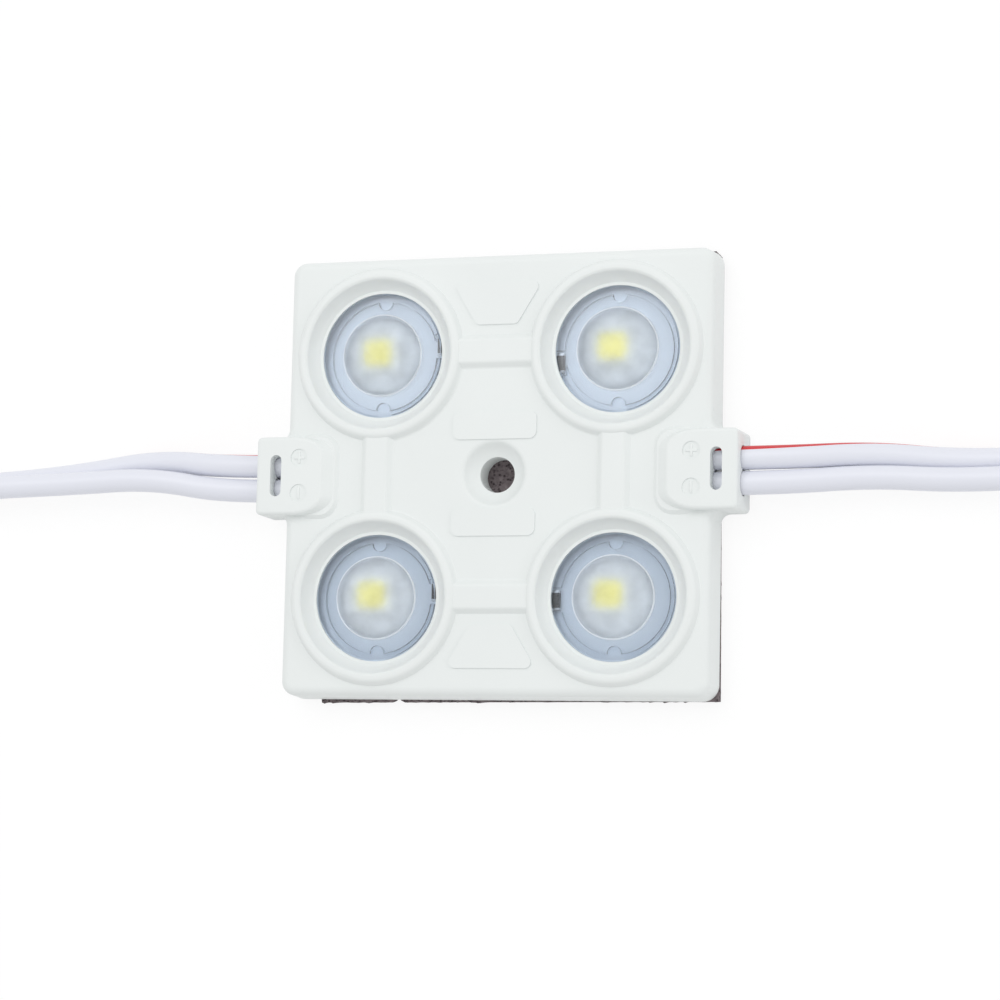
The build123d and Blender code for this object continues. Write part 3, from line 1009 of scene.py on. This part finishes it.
class LEDMODULE_OT_light_sources(Operator):
    """Finishes of the light packages and their phosphor fills"""

    bl_idname = "ledmodule.light_sources"
    bl_label = "Light sources"

    def execute(self, context):
        colours = context.scene.led_colours
        package = moulded_package(colours)
        phosphor = cast_phosphor(colours)
        for corner in CORNERS:
            dress(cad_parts["led_" + corner], package)
            dress(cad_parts["phosphor_" + corner], phosphor)
        return {"FINISHED"}


class LEDMODULE_OT_chips(Operator):
    """Chip resistors with a glazed body and tinned end caps"""

    bl_idname = "ledmodule.chips"
    bl_label = "Chip resistors"

    edge_round = 0.03 * MM
    smooth_angle = radians(40)

    def execute(self, context):
        sizes = context.scene.led_sizes
        colours = context.scene.led_colours
        body = glazed_chip(colours)
        cap = metal("Tin-plated end cap", colours.solder, 0.25, 0.4, 0.06)
        start_low, start_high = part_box("chip_resistor_top_left")
        model = self.chip(sizes, start_low, start_high)
        dress(model, body, cap)
        middle = (start_low.y + start_high.y) / 2
        inner = (start_high.y - start_low.y) / 2 - sizes.cap_length
        for face in model.data.polygons:
            face.material_index = int(abs(face.center.y - middle) > inner)
        for corner in CORNERS:
            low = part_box("chip_resistor_" + corner)[0]
            chip = copy_of(model, "chip_" + corner, low - start_low)
            place_piece(chip, "chip_resistor", "chip_resistor_" + corner)
        bpy.data.objects.remove(model)
        return {"FINISHED"}

    def chip(self, sizes, low, high):
        """Block with its end caps drawn out along its length, and its edges rounded."""
        size = high - low
        inner = size.y - 2 * sizes.cap_length
        bpy.ops.object.select_all(action="DESELECT")
        bpy.ops.mesh.primitive_cube_add(size=1, location=(low + high) / 2, scale=(size.x, inner, size.z))
        chip = bpy.context.object
        bake_place(chip)
        start_edit()
        select_faces(chip, lambda centre, normal: abs(normal.y) > FACING)
        bpy.ops.mesh.extrude_faces_move(TRANSFORM_OT_shrink_fatten={"value": sizes.cap_length})
        bpy.ops.mesh.select_all(action="SELECT")
        bpy.ops.mesh.bevel(offset=self.edge_round, segments=2)
        bpy.ops.object.mode_set(mode="OBJECT")
        bpy.ops.object.shade_smooth_by_angle(angle=self.smooth_angle)
        return chip


class LEDMODULE_OT_board(Operator):
    """Finishes of the circuit board, the bare conductors and the solder joints"""

    bl_idname = "ledmodule.board"
    bl_label = "Circuit board"

    def execute(self, context):
        colours = context.scene.led_colours
        dress(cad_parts["circuit_board"], white_solder_mask(colours))
        conductor = metal("Stranded copper", colours.copper, 0.25, 0.45, 0.09)
        solder = metal("Reflowed solder", colours.solder, 0.2, 0.38, 0.4)
        for core in CORES:
            dress(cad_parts["conductor_" + core], conductor)
            dress(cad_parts["solder_joint_" + core], solder)
        return {"FINISHED"}


class LEDMODULE_OT_tape(Operator):
    """Foam tape with an adhesive film on each face, ragged edges and a nick in its lower edge"""

    bl_idname = "ledmodule.tape"
    bl_label = "Foam tape"

    turn = radians(0.5)
    edge_cuts = 170
    foam_layers = 5
    raggedness = 0.05 * MM
    corner_snip = 0.42 * MM
    right_overhang, low_overhang = 0.08 * MM, 0.1 * MM
    nick_place = -8.7 * MM
    nick_width = 0.9 * MM
    nick_depth = 0.5 * MM

    def execute(self, context):
        sizes = context.scene.led_sizes
        colours = context.scene.led_colours
        tape = self.sheet(sizes)
        self.build_layers(tape, sizes)
        dress(tape, cut_foam(colours), adhesive_film(colours))
        film_top = TAPE_TOP - sizes.film_thickness
        for face in tape.data.polygons:
            bare = sizes.film_thickness < face.center.z < film_top or face.normal.z > FACING
            face.material_index = int(not bare)
        place_piece(tape, "foam_tape", "foam_tape")
        return {"FINISHED"}

    def sheet(self, sizes):
        """Flat outline of the tape, out over its solid at two edges, with a nick and a snipped corner."""
        bpy.ops.object.select_all(action="DESELECT")
        margin = 2 * self.raggedness
        place = (TAPE_CENTRE.x + self.right_overhang / 2, TAPE_CENTRE.y - self.low_overhang / 2, 0)
        bpy.ops.mesh.primitive_plane_add(size=1, location=place, rotation=(0, 0, self.turn))
        tape = bpy.context.object
        tape.name = "foam_tape_cut"
        tape.scale = (
            sizes.tape_length + self.right_overhang - margin,
            sizes.tape_width + self.low_overhang - margin,
            1,
        )
        bake_place(tape)
        start_edit("EDGE")
        bpy.ops.mesh.select_all(action="SELECT")
        bpy.ops.mesh.delete(type="ONLY_FACE")
        bpy.ops.mesh.select_all(action="SELECT")
        bpy.ops.mesh.subdivide(number_cuts=self.edge_cuts)
        bpy.ops.object.mode_set(mode="OBJECT")
        reach = max(vertex.co.x + vertex.co.y for vertex in tape.data.vertices)
        for vertex in tape.data.vertices:
            away = 2 * abs(vertex.co.x - self.nick_place) / self.nick_width
            if vertex.co.y < 0 and away < 1:
                vertex.co.y += self.nick_depth * (1 - away)
            past = vertex.co.x + vertex.co.y - (reach - self.corner_snip)
            if past > 0:
                vertex.co.xy -= Vector((past, past)) / 2
        bpy.ops.object.mode_set(mode="EDIT")
        bpy.ops.mesh.select_all(action="SELECT")
        bpy.ops.mesh.edge_face_add()
        bpy.ops.object.mode_set(mode="OBJECT")
        return tape

    def build_layers(self, tape, sizes):
        """Draws the outline up in layers, each with its own ragged edge."""
        foam = TAPE_TOP - 2 * sizes.film_thickness
        steps = range(self.foam_layers + 1)
        levels = [0, *(sizes.film_thickness + foam * step / self.foam_layers for step in steps), TAPE_TOP]
        bpy.ops.object.mode_set(mode="EDIT")
        bpy.ops.mesh.select_all(action="SELECT")
        for step, (level, next_level) in enumerate(zip(levels, levels[1:])):
            bpy.ops.mesh.extrude_region_move(TRANSFORM_OT_translate={"value": (0, 0, next_level - level)})
            bpy.ops.transform.vertex_random(offset=self.raggedness, seed=step)
            bpy.ops.transform.resize(value=(1, 1, 0), center_override=(0, 0, next_level))
        bpy.ops.mesh.select_all(action="SELECT")
        bpy.ops.mesh.normals_make_consistent(inside=False)
        bpy.ops.object.mode_set(mode="OBJECT")


class LEDMODULE_PT_panel(Panel):
    """Buttons for each piece"""

    bl_idname = "LEDMODULE_PT_panel"
    bl_label = "LED module"
    bl_space_type = "VIEW_3D"
    bl_region_type = "UI"
    bl_category = "LED module"

    def draw(self, context):
        for operator in OPERATORS:
            self.layout.operator(operator.bl_idname)


OPERATORS = (
    LEDMODULE_OT_stage,
    LEDMODULE_OT_leads,
    LEDMODULE_OT_housing,
    LEDMODULE_OT_lenses,
    LEDMODULE_OT_light_sources,
    LEDMODULE_OT_chips,
    LEDMODULE_OT_board,
    LEDMODULE_OT_tape,
)
CLASSES = (LedModuleSizes, LedModuleColours, *OPERATORS, LEDMODULE_PT_panel)


def register():
    for cls in CLASSES:
        bpy.utils.register_class(cls)
    bpy.types.Scene.led_sizes = PointerProperty(type=LedModuleSizes)
    bpy.types.Scene.led_colours = PointerProperty(type=LedModuleColours)


def unregister():
    del bpy.types.Scene.led_colours
    del bpy.types.Scene.led_sizes
    for cls in reversed(CLASSES):
        bpy.utils.unregister_class(cls)


def main():
    register()
    bpy.ops.ledmodule.stage()
    bpy.ops.ledmodule.leads()
    bpy.ops.ledmodule.housing()
    bpy.ops.ledmodule.lenses()
    bpy.ops.ledmodule.light_sources()
    bpy.ops.ledmodule.chips()
    bpy.ops.ledmodule.board()
    bpy.ops.ledmodule.tape()


if __name__ == "__main__":
    main()
